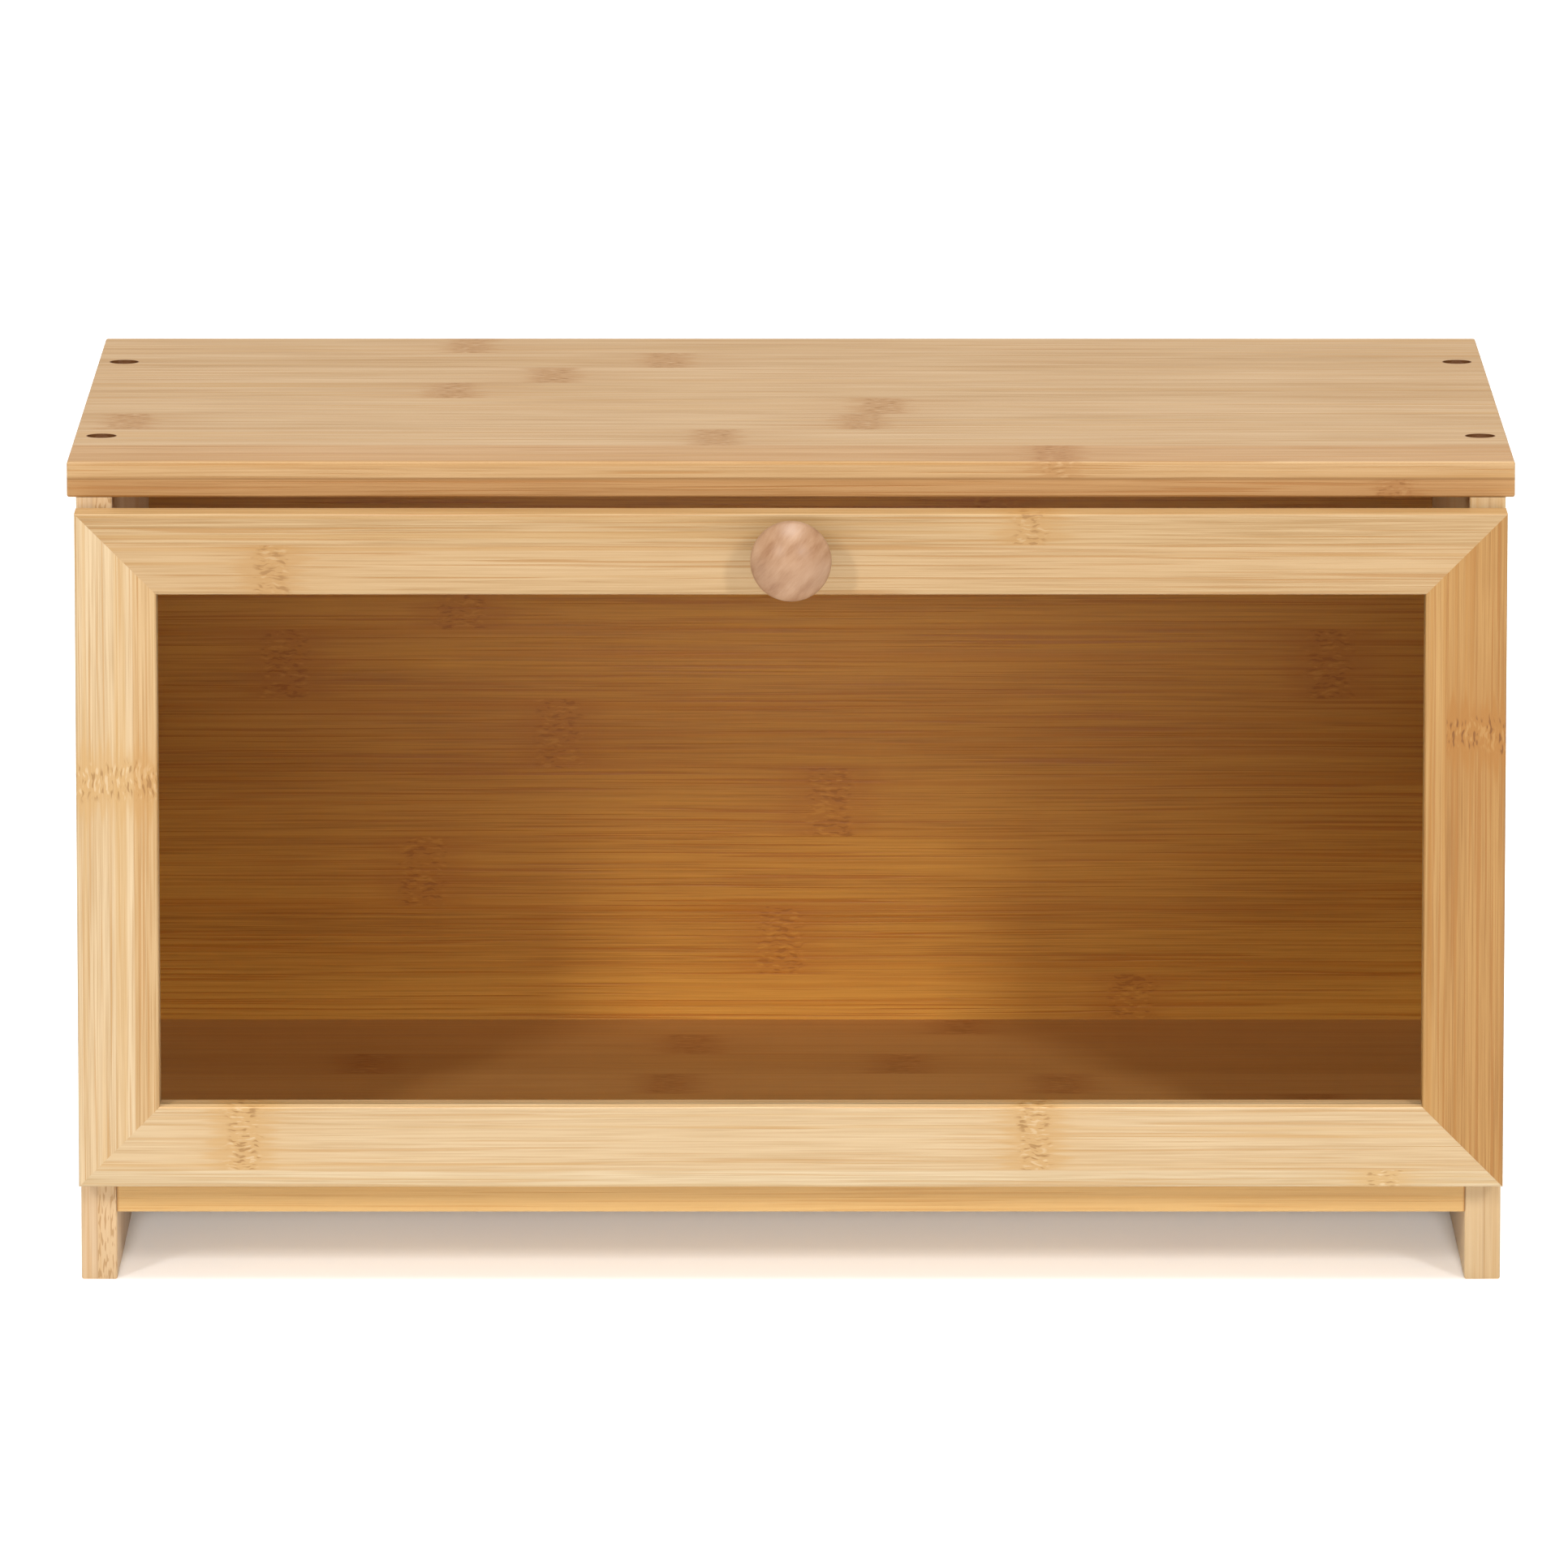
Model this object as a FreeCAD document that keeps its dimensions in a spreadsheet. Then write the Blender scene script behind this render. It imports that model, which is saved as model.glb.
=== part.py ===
"""Bamboo bread box with a drop-front window door, as a parametric FreeCAD document.

Frame: +Z up, the front of the box faces -Y, X = 0 is the middle of the width. The origin lies on the
surface that the box stands on, under the centre of its bounding box. All sizes are in millimetres.
"""
import FreeCAD, Part
import math
import os
import re
import Sketcher

# Driving dimensions: one spreadsheet cell each.
DIMENSIONS = {
    # carcass
    "top_width": 400,
    "carcass_depth": 250,
    "carcass_height": 230,
    "board_thickness": 10,
    "side_overhang": 2.5,
    "floor_underside": 19,
    "edge_ease": 0.7,
    # back panel, held in grooves all round
    "back_thickness": 5,
    "back_inset": 2,
    "groove_depth": 3,
    # door
    "door_gap": 0.5,
    "door_bottom": 28.5,
    "door_top": 217.2,
    "door_thickness": 12,
    "frame_width": 22.5,
    "frame_ease": 0.8,
    "pane_thickness": 2,
    "pane_bite": 3.5,
    "pane_groove": 4,
    "pane_setback": 5,
    "key_inset": 10,
    "key_reach": 6.5,
    "key_thickness": 2.5,
    # knob
    "knob_foot_radius": 7,
    "knob_radius": 12.2,
    "knob_rim_height": 11.5,
    "knob_flare_radius": 9,
    "knob_rim_ease": 2.4,
    "knob_projection": 19,
    "knob_pilot_depth": 12,
    # hinges
    "hinge_reach": 115,
    "hinge_axis_height": 28.4,
    "leaf_length": 25,
    "leaf_width": 12,
    "leaf_thickness": 0.8,
    "leaf_end_play": 0.2,
    "knuckle_radius": 1.6,
    "knuckle_clearance": 0.3,
    "middle_knuckle": 8,
    "knuckle_play": 0.2,
    "pin_radius": 0.75,
    "pin_clearance": 0.05,
    "leaf_screw_spread": 8,
    "leaf_screw_offset": 7.5,
    "leaf_hole_radius": 1.1,
    # screws: head, seat under the head, shank, length under the head, tip, driver recess
    "panel_screw_head_radius": 3.5,
    "panel_screw_seat_radius": 3.4,
    "panel_screw_head_height": 2.4,
    "panel_screw_shank_radius": 2,
    "panel_screw_length": 35,
    "panel_screw_tip": 4,
    "panel_screw_recess": 1.75,
    "panel_screw_recess_depth": 1.8,
    "leaf_screw_head_radius": 1.8,
    "leaf_screw_seat_radius": 1.1,
    "leaf_screw_head_height": 0.7,
    "leaf_screw_shank_radius": 1,
    "leaf_screw_length": 7.5,
    "leaf_screw_tip": 1.5,
    "leaf_screw_recess": 1.1,
    "leaf_screw_recess_depth": 0.5,
    "knob_screw_head_radius": 3.6,
    "knob_screw_seat_radius": 3.5,
    "knob_screw_head_height": 2,
    "knob_screw_shank_radius": 1.75,
    "knob_screw_length": 19,
    "knob_screw_tip": 3,
    "knob_screw_recess": 1.9,
    "knob_screw_recess_depth": 1.3,
    # holes for the panel and knob screws
    "screw_inset": 50,
    "counterbore_radius": 4,
    "counterbore_depth": 4.5,
    "knob_counterbore_radius": 4.2,
    "knob_counterbore_depth": 2.4,
    # magnetic catch
    "catch_height": 198,
    "magnet_radius": 3,
    "magnet_depth": 3,
    "strike_radius": 4,
    "strike_depth": 1,
}

# Places worked out from the driving dimensions.
FORMULAS = {
    "rear": "(carcass_depth + door_gap + door_thickness + knob_projection) / 2",
    "front": "rear - carcass_depth",
    "outer_side": "top_width / 2 - side_overhang",
    "inner_side": "outer_side - board_thickness",
    "panel_middle": "outer_side - board_thickness / 2",
    "shelf_underside": "carcass_height - board_thickness",
    "floor_top": "floor_underside + board_thickness",
    "floor_middle": "floor_underside + board_thickness / 2",
    "back_front": "carcass_depth - back_inset - back_thickness",
    "door_width": "2 * outer_side",
    "door_height": "door_top - door_bottom",
    "door_middle": "(door_top + door_bottom) / 2",
    "door_back": "front - door_gap",
    "door_front": "door_back - door_thickness",
    "knob_height": "door_top - frame_width / 2",
    "hinge_axis_y": "front - door_gap / 2",
    "notch_radius": "knuckle_radius + knuckle_clearance",
    "recess_length": "leaf_length + 2 * leaf_end_play",
    "floor_leaf_top": "floor_top - hinge_axis_height",
    "panel_grip": "board_thickness - counterbore_depth",
}

doc = FreeCAD.newDocument("bread_box")
sheet = doc.addObject("Spreadsheet::Sheet", "Dims")


def fill_sheet():
    """Give every driving dimension a named cell."""
    for row, (alias, size) in enumerate(DIMENSIONS.items(), start=1):
        sheet.set(f"A{row}", alias)
        sheet.set(f"B{row}", str(size))
        sheet.setAlias(f"B{row}", alias)
    doc.recompute()


def resolve(formula):
    """Write a formula of plain names as an expression on the spreadsheet's cells."""
    def expand(match):
        word = match.group(0)
        if word in FORMULAS:
            return f"({resolve(FORMULAS[word])})"
        return f"Dims.{word}" if word in DIMENSIONS else word
    return re.sub(r"[a-z][a-z_]*", expand, str(formula))


def value(formula):
    return float(sheet.evalExpression(resolve(formula)))


def bind(item, prop, formula):
    item.setExpression(prop, resolve(formula))


def place(item, x="0", y="0", z="0", axis=(0, 0, 1), angle=0):
    """Put an item at a place given by three formulas, turned about its own origin."""
    item.Placement = FreeCAD.Placement(FreeCAD.Vector(), FreeCAD.Rotation(FreeCAD.Vector(*axis), angle))
    for letter, formula in (("x", x), ("y", y), ("z", z)):
        bind(item, f"Placement.Base.{letter}", formula)


# ---- sketches -------------------------------------------------------------------------------------

def new_body(name):
    body = doc.addObject("PartDesign::Body", name)
    body.Label = name
    return body


def new_sketch(body, name, plane, lift="0"):
    """Sketch on one of the body's own origin planes, lifted along the plane's normal."""
    sketch = body.newObject("Sketcher::SketchObject", name)
    role = f"{plane}_Plane"
    sketch.AttachmentSupport = [(next(f for f in body.Origin.OriginFeatures if f.Role == role), "")]
    sketch.MapMode = "FlatFace"
    bind(sketch, "AttachmentOffset.Base.z", lift)
    return sketch


def constrain(sketch, formula, *parts):
    index = sketch.addConstraint(Sketcher.Constraint(*parts, value(formula)))
    bind(sketch, f"Constraints[{index}]", formula)


def pin_point(sketch, geometry, vertex, u, v):
    """Dimension one point of a sketch from the sketch's origin."""
    constrain(sketch, u, "DistanceX", -1, 1, geometry, vertex)
    constrain(sketch, v, "DistanceY", -1, 1, geometry, vertex)


def outlines(body, name, plane, loops, lift="0"):
    """Sketch of closed straight-sided loops, each corner a pair of formulas."""
    sketch = new_sketch(body, name, plane, lift)
    for loop in loops:
        first = sketch.GeometryCount
        points = [FreeCAD.Vector(value(u), value(v), 0) for u, v in loop]
        for index, (start, end) in enumerate(zip(points, points[1:] + points[:1])):
            sketch.addGeometry(Part.LineSegment(start, end), False)
            pin_point(sketch, first + index, 1, *loop[index])
        for index in range(len(loop)):
            after = (index + 1) % len(loop)
            sketch.addConstraint(Sketcher.Constraint("Coincident", first + index, 2, first + after, 1))
    return sketch


def rectangle(left, bottom, right, top):
    return [(left, bottom), (right, bottom), (right, top), (left, top)]


def circles(body, name, plane, centres, radius, lift="0"):
    """Sketch of equal circles, each centre a pair of formulas."""
    sketch = new_sketch(body, name, plane, lift)
    for u, v in centres:
        centre = FreeCAD.Vector(value(u), value(v), 0)
        index = sketch.addGeometry(Part.Circle(centre, FreeCAD.Vector(0, 0, 1), value(radius)), False)
        pin_point(sketch, index, 3, u, v)
        constrain(sketch, radius, "Radius", index)
    return sketch


# ---- features -------------------------------------------------------------------------------------

def pad(body, sketch, name, length, middle=False):
    feature = body.newObject("PartDesign::Pad", name)
    feature.Profile = sketch
    feature.SideType = "Symmetric" if middle else "One side"
    bind(feature, "Length", length)
    doc.recompute()
    return feature


def pocket(body, sketch, name, length=None, middle=False, backward=False):
    """Cut a sketch into the body: by a length, or right through when there is none."""
    before = body.Shape.Volume
    feature = body.newObject("PartDesign::Pocket", name)
    feature.Profile = sketch
    if length is None:
        feature.Type = "ThroughAll"
        feature.SideType = "Symmetric"
    else:
        feature.SideType = "Symmetric" if middle else "One side"
        feature.Reversed = backward
        bind(feature, "Length", length)
    doc.recompute()
    if body.Shape.Volume >= before - 1e-6:
        raise RuntimeError(f"{body.Name}.{name} cuts nothing")
    return feature


def dress(body, name, kind, size, wanted):
    """Fillet or chamfer the edges of the body's last feature for which wanted(box) holds."""
    base = body.Tip
    edges = enumerate(base.Shape.Edges, start=1)
    names = [f"Edge{number}" for number, edge in edges if wanted(edge.BoundBox)]
    feature = body.newObject(f"PartDesign::{kind}", name)
    feature.Base = (base, names)
    bind(feature, "Radius" if kind == "Fillet" else "Size", size)
    doc.recompute()
    return feature


def ease(body, name, radius, wanted):
    return dress(body, name, "Fillet", radius, wanted)


def near(a, b):
    return abs(a - b) < 0.01


def bearing(centre, point):
    """Angle of a point seen from a centre, from 0 to a full turn."""
    return math.atan2(point.y - centre.y, point.x - centre.x) % (2 * math.pi)


def rod(name, radius, length, *where):
    """Plain round bar whose axis is its own +Z."""
    item = doc.addObject("Part::Cylinder", name)
    item.Label = name
    bind(item, "Radius", radius)
    bind(item, "Height", length)
    place(item, *where)


def group(name, pieces):
    """Node of identical pieces that stay separate solids."""
    item = doc.addObject("Part::Compound", name)
    item.Label = name
    item.Links = pieces


# ---- carcass --------------------------------------------------------------------------------------

def top_board():
    """Shelf on top, with a counterbored screw hole over each end of each side panel."""
    body = new_body("top_board")
    place(body, "-top_width / 2", "front", "shelf_underside")
    blank = rectangle("0", "0", "top_width", "carcass_depth")
    pad(body, outlines(body, "Blank", "XY", [blank]), "Board", "board_thickness")
    ease(body, "EasedEdges", "edge_ease", lambda box: True)

    inset = "side_overhang + board_thickness / 2"
    centres = [(u, v) for u in (inset, f"top_width - ({inset})")
               for v in ("screw_inset", "carcass_depth - screw_inset")]
    pocket(body, circles(body, "Counterbores", "XY", centres, "counterbore_radius", "board_thickness"),
           "ScrewHeads", "counterbore_depth")
    pocket(body, circles(body, "ScrewHoles", "XY", centres, "panel_screw_shank_radius"), "ScrewShanks")

    left = "side_overhang + board_thickness - groove_depth"
    groove = rectangle(left, "back_front", f"top_width - ({left})", "back_front + back_thickness")
    pocket(body, outlines(body, "BackGroove", "XY", [groove]), "BackSlot", "groove_depth", backward=True)


def side_panel(name, side):
    """Upright panel that the box stands on; side is -1 on the left and +1 on the right."""
    body = new_body(name)
    inner = "-board_thickness / 2" if side > 0 else "board_thickness / 2"
    outer = "board_thickness / 2" if side > 0 else "-board_thickness / 2"
    place(body, f"{side} * panel_middle", "front", "0")
    blank = rectangle("0", "0", "carcass_depth", "shelf_underside")
    pad(body, outlines(body, "Blank", "YZ", [blank]), "Panel", "board_thickness", middle=True)

    shelf = value("shelf_underside")
    ease(body, "EasedEdges", "edge_ease", lambda box: box.ZMin < shelf - 1 and near(box.XLength, 0))

    slot = rectangle("back_front", "floor_top - groove_depth",
                     "back_front + back_thickness", "shelf_underside")
    pocket(body, outlines(body, "BackGroove", "YZ", [slot], inner), "BackSlot", "groove_depth",
           backward=side > 0)

    ends = ("screw_inset", "carcass_depth - screw_inset")
    floor_screws = [(v, "floor_middle") for v in ends]
    pocket(body, circles(body, "Counterbores", "YZ", floor_screws, "counterbore_radius", outer),
           "ScrewHeads", "counterbore_depth", backward=side < 0)
    pocket(body, circles(body, "ScrewHoles", "YZ", floor_screws, "panel_screw_shank_radius"),
           "ScrewShanks")
    shelf_screws = [("0", v) for v in ends]
    pocket(body, circles(body, "ShelfPilots", "XY", shelf_screws, "panel_screw_shank_radius",
                         "shelf_underside"),
           "ShelfPilotHoles", "panel_screw_length - panel_grip")
    magnet = circles(body, "MagnetSeat", "XZ", [("0", "catch_height")], "magnet_radius")
    pocket(body, magnet, "MagnetHole", "magnet_depth")


def bottom_board():
    """Floor between the side panels, with the hinges' body leaves let into its front edge."""
    body = new_body("bottom_board")
    place(body, "0", "front", "floor_underside")
    blank = rectangle("-inner_side", "0", "inner_side", "carcass_depth")
    pad(body, outlines(body, "Blank", "XY", [blank]), "Board", "board_thickness")
    ease(body, "EasedEdges", "edge_ease",
         lambda box: near(box.YLength, 0) and near(box.ZLength, 0))

    groove = rectangle("-inner_side", "back_front", "inner_side", "back_front + back_thickness")
    pocket(body, outlines(body, "BackGroove", "XY", [groove], "board_thickness"),
           "BackSlot", "groove_depth")
    for side in (-1, 1):
        mark = "Left" if side < 0 else "Right"
        end = f"{side} * inner_side"
        ends = [(v, "board_thickness / 2") for v in ("screw_inset", "carcass_depth - screw_inset")]
        pocket(body, circles(body, f"{mark}Pilots", "YZ", ends, "panel_screw_shank_radius", end),
               f"{mark}PilotHoles", "panel_screw_length - panel_grip", backward=side < 0)
        middle = f"{side} * hinge_reach"
        recess = rectangle(f"{middle} - recess_length / 2", "-1",
                           f"{middle} + recess_length / 2", "leaf_width - door_gap / 2")
        pocket(body, outlines(body, f"{mark}LeafSeat", "XY", [recess], "board_thickness"),
               f"{mark}LeafRecess", "leaf_thickness")
        barrel = [("-door_gap / 2", "hinge_axis_height - floor_underside")]
        pocket(body, circles(body, f"{mark}Barrel", "YZ", barrel, "notch_radius", middle),
               f"{mark}BarrelNotch", "recess_length", middle=True)
        screws = [(f"{middle} + {step} * leaf_screw_spread", "leaf_screw_offset - door_gap / 2")
                  for step in (-1, 1)]
        pocket(body, circles(body, f"{mark}LeafPilots", "XY", screws, "leaf_screw_shank_radius",
                             "board_thickness"),
               f"{mark}LeafPilotHoles", "leaf_screw_head_height + leaf_screw_length")


def back_panel():
    """Thin panel in the grooves of both sides, the floor and the shelf."""
    body = new_body("back_panel")
    place(body, "0", "front + back_front", "0")
    blank = rectangle("-inner_side - groove_depth", "floor_top - groove_depth",
                      "inner_side + groove_depth", "shelf_underside + groove_depth")
    sketch = outlines(body, "Blank", "XZ", [blank], "-back_thickness")
    pad(body, sketch, "Panel", "back_thickness")


# ---- door -----------------------------------------------------------------------------------------

def frame_member(name, length, reach, angle):
    """One mitred member of the door's frame.

    It is drawn as the top rail about the door's centre: X runs along it, Y from its front face to its
    back, and Z outwards to its outer edge at reach. Turning it about Y makes the other members.
    """
    body = new_body(name)
    place(body, "0", "door_front", "door_middle", (0, 1, 0), angle)
    inner = f"{reach} - frame_width"
    bar = rectangle("0", inner, "door_thickness", reach)
    pad(body, outlines(body, "Section", "YZ", [bar]), "Bar", length, middle=True)
    ease(body, "EasedEdges", "frame_ease", lambda box: box.XLength > 1)

    groove = rectangle("pane_setback", f"{inner} - 1",
                       "pane_setback + pane_thickness", f"{inner} + pane_groove")
    pocket(body, outlines(body, "PaneGroove", "YZ", [groove]), "PaneSlot")

    half = f"{length} / 2"
    mitres = []
    keys = []
    for side in (-1, 1):
        end = f"{side} * {half}"
        mitres.append([(f"{end} + {side}", reach), (end, reach),
                       (f"{end} - {side} * frame_width", inner),
                       (f"{end} - {side} * (frame_width + 1)", f"{inner} - 1"),
                       (f"{end} + {side}", f"{inner} - 1")])
        u = f"{end} - {side} * key_inset"
        v = f"{reach} - key_inset"
        keys.append([(f"{u} + key_reach", v), (u, f"{v} + key_reach"),
                     (f"{u} - key_reach", v), (u, f"{v} - key_reach")])
    pocket(body, outlines(body, "Mitres", "XZ", mitres), "MitreCuts")
    pocket(body, outlines(body, "KeySlots", "XZ", keys, "-door_thickness / 2"), "KeyPockets",
           "key_thickness", middle=True)
    return body


def strike_seat(body, along):
    """Round seat for a strike plate in a member's back face."""
    seat = [(along, "door_width / 2 - board_thickness / 2")]
    pocket(body, circles(body, "StrikeSeat", "XZ", seat, "strike_radius", "-door_thickness"),
           "StrikeHole", "strike_depth", backward=True)


def door_frame():
    """Top rail with the knob's screw hole, bottom rail with the hinge seats, and two stiles."""
    top = frame_member("door_top_rail", "door_width", "door_height / 2", 0)
    hole = [("0", "knob_height - door_middle")]
    pocket(top, circles(top, "KnobCounterbore", "XZ", hole, "knob_counterbore_radius",
                        "-door_thickness"),
           "KnobScrewHead", "knob_counterbore_depth", backward=True)
    pocket(top, circles(top, "KnobHole", "XZ", hole, "knob_screw_shank_radius"), "KnobScrewShank")

    bottom = frame_member("door_bottom_rail", "door_width", "door_height / 2", 180)
    for side in (-1, 1):
        mark = "Near" if side < 0 else "Far"
        middle = f"{side} * hinge_reach"
        recess = rectangle(f"{middle} - recess_length / 2", "door_height / 2 - leaf_width",
                           f"{middle} + recess_length / 2", "door_height / 2 + 1")
        pocket(bottom, outlines(bottom, f"{mark}LeafSeat", "XZ", [recess], "-door_thickness"),
               f"{mark}LeafRecess", "leaf_thickness", backward=True)
        barrel = [("door_thickness + door_gap / 2", "door_middle - hinge_axis_height")]
        pocket(bottom, circles(bottom, f"{mark}Barrel", "YZ", barrel, "notch_radius", middle),
               f"{mark}BarrelNotch", "recess_length", middle=True)
        screws = [(f"{middle} + {step} * leaf_screw_spread",
                   "door_middle - hinge_axis_height - leaf_screw_offset") for step in (-1, 1)]
        pocket(bottom, circles(bottom, f"{mark}LeafPilots", "XZ", screws, "leaf_screw_shank_radius",
                               "-door_thickness"),
               f"{mark}LeafPilotHoles", "leaf_screw_head_height + leaf_screw_length", backward=True)

    left = frame_member("door_left_stile", "door_height", "door_width / 2", -90)
    strike_seat(left, "catch_height - door_middle")
    right = frame_member("door_right_stile", "door_height", "door_width / 2", 90)
    strike_seat(right, "door_middle - catch_height")


def window_pane():
    """Clear sheet held in the groove of all four members."""
    body = new_body("window_pane")
    place(body, "0", "door_front + pane_setback", "door_middle")
    half_width = "door_width / 2 - frame_width + pane_bite"
    half_height = "door_height / 2 - frame_width + pane_bite"
    blank = rectangle(f"-({half_width})", f"-({half_height})", half_width, half_height)
    pad(body, outlines(body, "Blank", "XZ", [blank], "-pane_thickness"), "Sheet", "pane_thickness")


def mitre_keys():
    """Four loose keys, one glued across each mitre."""
    keys = []
    for number, (side, end) in enumerate(((-1, -1), (1, -1), (-1, 1), (1, 1)), start=1):
        key = doc.addObject("Part::Box", f"mitre_key_{number}")
        for prop, formula in (("Length", "key_reach * sqrt(2)"), ("Width", "key_thickness"),
                              ("Height", "key_reach * sqrt(2)")):
            bind(key, prop, formula)
        place(key, f"{side} * (door_width / 2 - key_inset)",
              "door_front + door_thickness / 2 - key_thickness / 2",
              f"door_middle + {end} * (door_height / 2 - key_inset) - key_reach", (0, 1, 0), -45)
        keys.append(key)
    group("mitre_keys", keys)


def door_knob():
    """Turned mushroom knob on a blind screw hole; its axis points forwards."""
    body = new_body("door_knob")
    place(body, "0", "door_front", "knob_height", (1, 0, 0), 90)
    foot = FreeCAD.Vector(value("knob_foot_radius"), 0, 0)
    rim = FreeCAD.Vector(value("knob_radius"), value("knob_rim_height"), 0)
    apex = FreeCAD.Vector(0, value("knob_projection"), 0)
    up = FreeCAD.Vector(0, 0, 1)

    # The dome's centre lies on the axis, as far from the rim as from the apex.
    rise = apex.y - rim.y
    dome_radius = (rise ** 2 + rim.x ** 2) / (2 * rise)
    dome_centre = apex - FreeCAD.Vector(0, dome_radius, 0)
    dome = Part.ArcOfCircle(Part.Circle(dome_centre, up, dome_radius),
                            bearing(dome_centre, rim), bearing(dome_centre, apex))
    # The flare under the rim is hollow: its centre lies outside the knob.
    flare_radius = value("knob_flare_radius")
    chord = rim - foot
    outward = FreeCAD.Vector(chord.y, -chord.x, 0).normalize()
    offset = (flare_radius ** 2 - (chord.Length / 2) ** 2) ** 0.5
    flare_centre = foot + chord / 2 + outward * offset
    flare = Part.ArcOfCircle(Part.Circle(flare_centre, up, flare_radius),
                             bearing(flare_centre, rim), bearing(flare_centre, foot))

    sketch = new_sketch(body, "Profile", "XZ")
    profile = (Part.LineSegment(FreeCAD.Vector(), foot), flare, dome,
               Part.LineSegment(apex, FreeCAD.Vector()))
    for piece in profile:
        sketch.addGeometry(piece, False)
    for joint in ((0, 2, 1, 2), (1, 1, 2, 1), (2, 2, 3, 1), (3, 2, 0, 1)):
        sketch.addConstraint(Sketcher.Constraint("Coincident", *joint))
    pin_point(sketch, 0, 1, "0", "0")
    pin_point(sketch, 0, 2, "knob_foot_radius", "0")
    pin_point(sketch, 2, 1, "knob_radius", "knob_rim_height")
    pin_point(sketch, 3, 1, "0", "knob_projection")
    sketch.addConstraint(Sketcher.Constraint("PointOnObject", 2, 3, -2))
    constrain(sketch, "knob_flare_radius", "Radius", 1)

    turning = body.newObject("PartDesign::Revolution", "Turning")
    turning.Profile = sketch
    turning.ReferenceAxis = (sketch, ["V_Axis"])
    turning.Angle = 360
    doc.recompute()
    ease(body, "RoundedRim", "knob_rim_ease",
         lambda box: near(box.ZMin, rim.y) and near(box.ZMax, rim.y))
    pilot = circles(body, "Pilot", "XY", [("0", "0")], "knob_screw_shank_radius")
    pocket(body, pilot, "PilotHole", "knob_pilot_depth", backward=True)


# ---- hinges and catch -----------------------------------------------------------------------------

def hinge_leaf(name, side, top, bore, gaps, axis=(0, 0, 1), angle=0):
    """One leaf of a butt hinge, about the hinge's own axis.

    The axis is the local X axis, the plate runs out along +Y with its bare face at the height top, and
    gaps are the stretches along X where the other leaf's knuckles turn.
    """
    body = new_body(name)
    place(body, f"{side} * hinge_reach", "hinge_axis_y", "hinge_axis_height", axis, angle)
    pad(body, circles(body, "BarrelSection", "YZ", [("0", "0")], "knuckle_radius"), "Barrel",
        "leaf_length", middle=True)
    plate = rectangle("0", f"{top} - leaf_thickness", "leaf_width", top)
    pad(body, outlines(body, "PlateSection", "YZ", [plate]), "Plate", "leaf_length", middle=True)
    pocket(body, circles(body, "BoreSection", "YZ", [("0", "0")], bore), "Bore")
    loops = [rectangle(start, "-notch_radius", end, "notch_radius") for start, end in gaps]
    pocket(body, outlines(body, "KnuckleGaps", "XY", loops), "KnuckleGapCuts")
    centres = [(f"{step} * leaf_screw_spread", "leaf_screw_offset") for step in (-1, 1)]
    pocket(body, circles(body, "ScrewHoles", "XY", centres, "leaf_hole_radius"), "ScrewHoleCuts")
    face = value(top)
    hole = 2 * value("leaf_hole_radius")
    dress(body, "Countersinks", "Chamfer", "leaf_screw_head_height",
          lambda box: near(box.ZMin, face) and near(box.ZMax, face) and near(box.XLength, hole))


def hinges():
    """Two butt hinges: each has a body leaf with two knuckles, a door leaf with one, and a pin."""
    reach = "(middle_knuckle / 2 + knuckle_play)"
    beyond = "(leaf_length / 2 + 1)"
    for side, mark in ((-1, "left"), (1, "right")):
        hinge_leaf(f"{mark}_hinge_body_leaf", side, "floor_leaf_top", "pin_radius",
                   [(f"-{reach}", reach)])
        hinge_leaf(f"{mark}_hinge_door_leaf", side, "-door_gap / 2", "pin_radius + pin_clearance",
                   [(f"-{beyond}", "-middle_knuckle / 2"), ("middle_knuckle / 2", beyond)],
                   (0, 1, 1), 180)
        rod(f"{mark}_hinge_pin", "pin_radius", "leaf_length", f"{side} * hinge_reach - leaf_length / 2",
            "hinge_axis_y", "hinge_axis_height", (0, 1, 0), 90)


def catches():
    """A magnet in the front edge of each side panel meets a steel strike plate in the door's back."""
    for side, mark in ((-1, "left"), (1, "right")):
        middle = f"{side} * panel_middle"
        rod(f"{mark}_catch_magnet", "magnet_radius", "magnet_depth", middle, "front", "catch_height",
            (1, 0, 0), -90)
        rod(f"{mark}_strike_plate", "strike_radius", "strike_depth", middle, "door_back - strike_depth",
            "catch_height", (1, 0, 0), -90)


# ---- screws ---------------------------------------------------------------------------------------

def primitive(kind, name, height, **sizes):
    """Part primitive that starts at a height on its own axis."""
    item = doc.addObject(f"Part::{kind}", name)
    for prop, formula in sizes.items():
        bind(item, prop, formula)
    place(item, "0", "0", height)
    return item


def combine(kind, name, pieces):
    item = doc.addObject(f"Part::{kind}", name)
    if kind == "Cut":
        item.Base, item.Tool = pieces
    else:
        item.Shapes = pieces
    return item


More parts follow.
